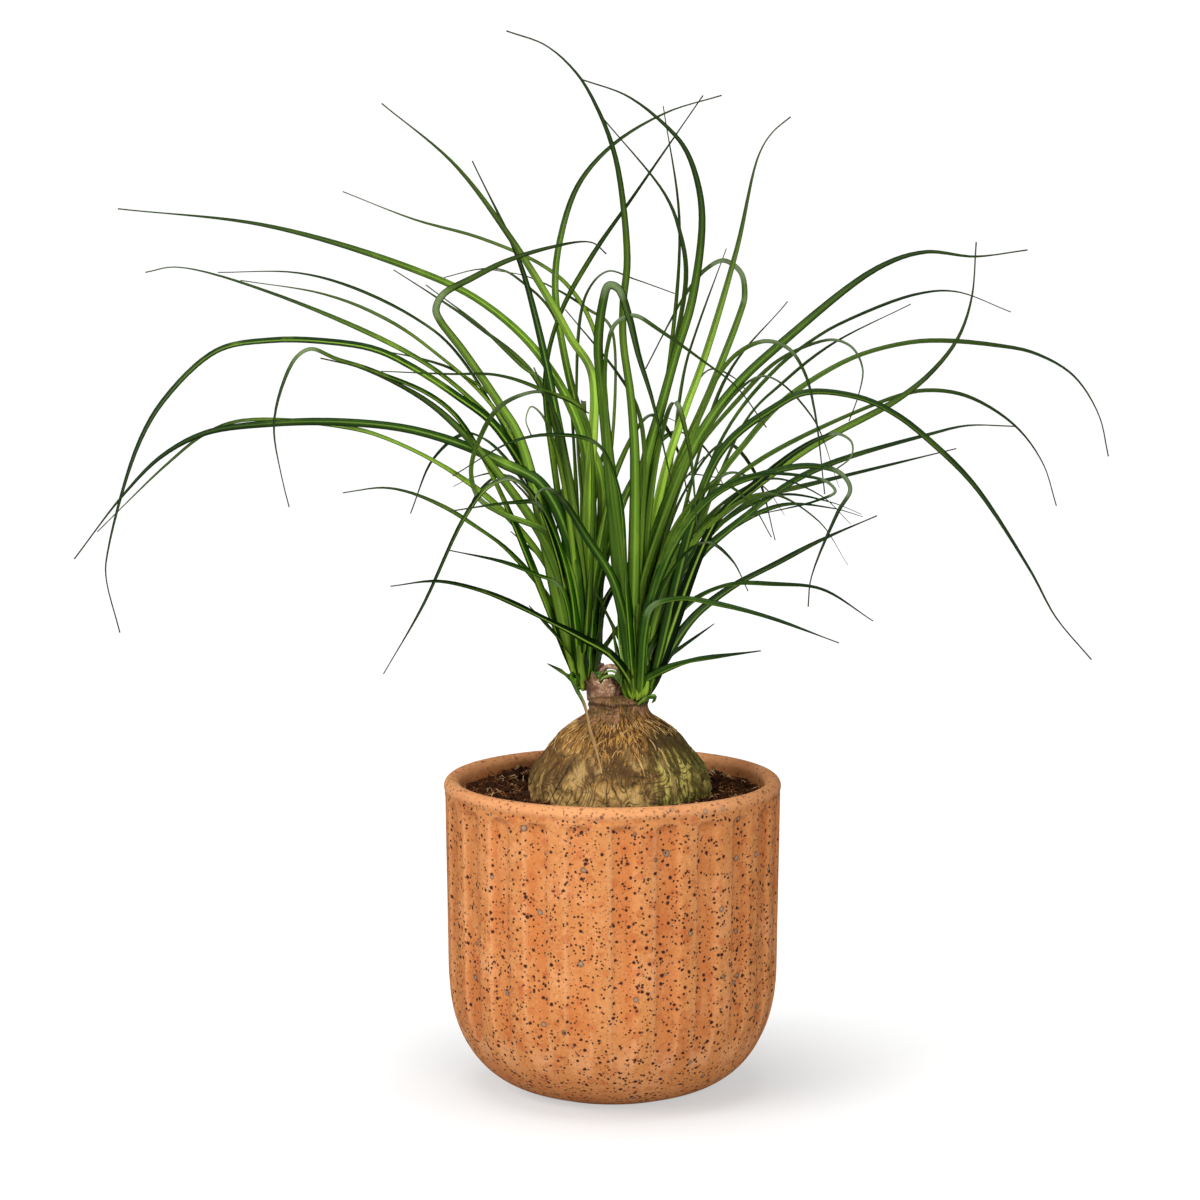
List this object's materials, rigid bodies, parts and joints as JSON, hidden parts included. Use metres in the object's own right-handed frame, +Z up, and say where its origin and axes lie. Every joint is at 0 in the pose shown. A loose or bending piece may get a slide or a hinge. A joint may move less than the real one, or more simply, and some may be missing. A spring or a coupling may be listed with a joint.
{
  "type": "potted ponytail palm",
  "caption": "Ponytail palm house plant in a round fluted clay pot: a swollen woody base with two crowns of long narrow arching leaves, standing in soil.",
  "frame": {"origin": "centre of the pot's foot, on the surface that the pot stands on", "axes": "+Z up along the pot's axis; -Y towards the front, where the half-dried leaf hangs over the woody base; +X to the right seen from the front"},
  "size_m": [0.3942, 0.2218, 0.4067],
  "materials": {
    "speckled_clay": "matte fired clay with dark pits and speckles",
    "potting_soil": "rough crumbly potting soil with bark and fibres",
    "bark": "rough cracked bark",
    "leaf": "satin green leaf with fine veins along it"
  },
  "bodies": {
    "root": {"pot": "speckled_clay", "soil": "potting_soil", "caudex": "bark", "leaves_left": "leaf", "leaves_right": "leaf"}
  },
  "joints": []
}
